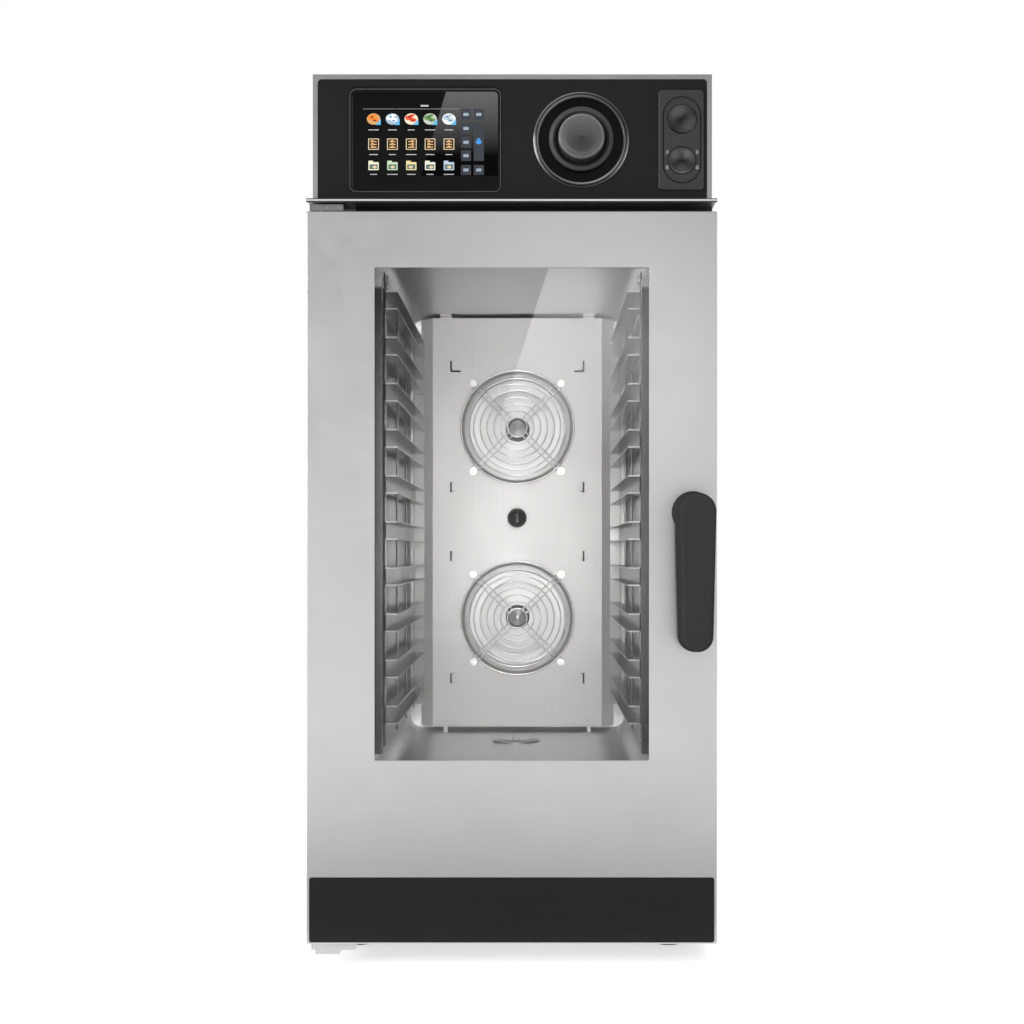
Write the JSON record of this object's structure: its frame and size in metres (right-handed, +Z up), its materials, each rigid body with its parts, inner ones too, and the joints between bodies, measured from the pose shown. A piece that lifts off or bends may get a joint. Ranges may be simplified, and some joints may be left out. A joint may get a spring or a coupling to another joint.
{
  "type": "combi steamer oven",
  "caption": "Compact combi steamer oven: narrow steel body, left-hinged glass door with a lever handle, touch control panel with a knob, and a tall tray cavity with stacked fans.",
  "frame": {"origin": "on the floor, in the middle of the overall width and depth", "axes": "+Z up, -Y out of the door towards the cook, +X to the right as seen from the front"},
  "size_m": [0.51, 0.89, 1.15],
  "materials": {
    "brushed_panel": "satin brushed",
    "cavity_steel": "bright satin",
    "structural_steel": "mill finish",
    "polished_wire": "electropolished",
    "black_panel": "satin black",
    "black_glass": "glossy black",
    "clear_glass": "clear toughened",
    "black_plastic": "fine texture",
    "dark_metal": "dark satin",
    "ring_metal": "satin dark ring",
    "knob_grey": "satin grey",
    "insulation": "mineral wool",
    "silicone": "matt silicone",
    "led_housing": "grey lens",
    "circuit_board": "lacquered",
    "motor_paint": "black enamel",
    "brass_fitting": "machined",
    "hinge_steel": "bright",
    "component_grey": "moulded"
  },
  "bodies": {
    "body": {"base_frame": "structural_steel", "feet": "black_plastic", "left_side_panel": "brushed_panel", "right_side_panel": "brushed_panel", "top_panel": "brushed_panel", "rear_panel": "brushed_panel", "front_frame": "brushed_panel", "door_keeper": "hinge_steel", "cavity_liner": "cavity_steel", "cavity_insulation": "insulation", "door_gasket": "silicone", "drain_pipe": "structural_steel", "steam_vent": "structural_steel", "cavity_probe": "polished_wire", "water_injector": "polished_wire", "baffle": "cavity_steel", "baffle_fasteners": "cavity_steel", "upper_fan_guard": "polished_wire", "lower_fan_guard": "polished_wire", "upper_fan_motor": "motor_paint", "lower_fan_motor": "motor_paint", "upper_heater": "structural_steel", "lower_heater": "structural_steel", "upper_hinge_bracket": "hinge_steel", "lower_hinge_bracket": "hinge_steel", "visor": "dark_metal", "fascia_frame": "brushed_panel", "control_panel": "black_panel", "display_glass": "black_glass", "knob_ring": "ring_metal", "socket_plate": "dark_metal", "control_board": "circuit_board", "contactors": "component_grey", "cooling_fan_housing": "black_plastic", "inlet_valves": "brass_fitting", "cable_gland": "black_plastic"},
    "door": {"door_outer_panel": "brushed_panel", "lower_band_glass": "black_glass", "outer_glass": "clear_glass", "left_led_bar": "led_housing", "right_led_bar": "led_housing", "inner_glass": "clear_glass", "inner_glass_clips": "hinge_steel", "door_inner_frame": "brushed_panel", "door_hinge_bushes": "brass_fitting", "handle_rosette": "black_plastic"},
    "handle": {"handle_grip": "black_plastic", "door_latch": "hinge_steel"},
    "encoder": {"encoder_shaft": "hinge_steel"},
    "knob": {"control_knob": "knob_grey"},
    "button": {"power_button": "dark_metal"},
    "socket_cap": {"probe_cap": "dark_metal"},
    "upper_fan": {"upper_impeller": "cavity_steel"},
    "lower_fan": {"lower_impeller": "cavity_steel"},
    "cooling_fan": {"cooling_fan_rotor": "black_plastic"},
    "strainer": {"drain_strainer": "cavity_steel"},
    "left_tray_rack": {"left_rack": "polished_wire"},
    "right_tray_rack": {"right_rack": "polished_wire"},
    "retaining_knob": {"baffle_knob": "black_plastic"}
  },
  "joints": [
    {"name": "door_hinge", "type": "hinge", "parent": "body", "child": "door", "pos_m": [-0.237, -0.356, 0.485], "axis": [0, 0, -1], "range_deg": [0, 120]},
    {"name": "handle_turn", "type": "hinge", "parent": "door", "child": "handle", "pos_m": [0.225, -0.4, 0.5668], "axis": [0, 1, 0], "range_deg": [0, 60]},
    {"name": "encoder_push", "type": "slide", "parent": "body", "child": "encoder", "axis": [0, 1, 0], "range_m": [0, 0.001], "stiffness_N_per_m": 1500, "springref_m": -0.001},
    {"name": "knob_turn", "type": "hinge", "parent": "encoder", "child": "knob", "pos_m": [0.0878, -0.33, 1.0443], "axis": [0, -1, 0], "continuous": true},
    {"name": "power_button_push", "type": "slide", "parent": "body", "child": "button", "axis": [0, 1, 0], "range_m": [0, 0.0015], "stiffness_N_per_m": 900, "springref_m": -0.001},
    {"name": "probe_cap_turn", "type": "hinge", "parent": "body", "child": "socket_cap", "pos_m": [0.2165, -0.322, 1.0178], "axis": [0, -1, 0], "range_deg": [0, 90]},
    {"name": "upper_fan_spin", "type": "hinge", "parent": "body", "child": "upper_fan", "pos_m": [0, 0.29, 0.721], "axis": [0, -1, 0], "continuous": true},
    {"name": "lower_fan_spin", "type": "hinge", "parent": "body", "child": "lower_fan", "pos_m": [0, 0.29, 0.41], "axis": [0, -1, 0], "continuous": true},
    {"name": "cooling_fan_spin", "type": "hinge", "parent": "body", "child": "cooling_fan", "pos_m": [-0.12, 0.4, 1.04], "axis": [0, -1, 0], "continuous": true},
    {"name": "strainer_lift", "type": "slide", "parent": "body", "child": "strainer", "axis": [0, 0, 1], "range_m": [0, 0.03]},
    {"name": "left_rack_unhook", "type": "slide", "parent": "body", "child": "left_tray_rack", "axis": [0, 0, 1], "range_m": [0, 0.008]},
    {"name": "right_rack_unhook", "type": "slide", "parent": "body", "child": "right_tray_rack", "axis": [0, 0, 1], "range_m": [0, 0.008]},
    {"name": "baffle_knob_turn", "type": "hinge", "parent": "body", "child": "retaining_knob", "pos_m": [0, 0.24, 0.573], "axis": [0, -1, 0], "continuous": true}
  ]
}
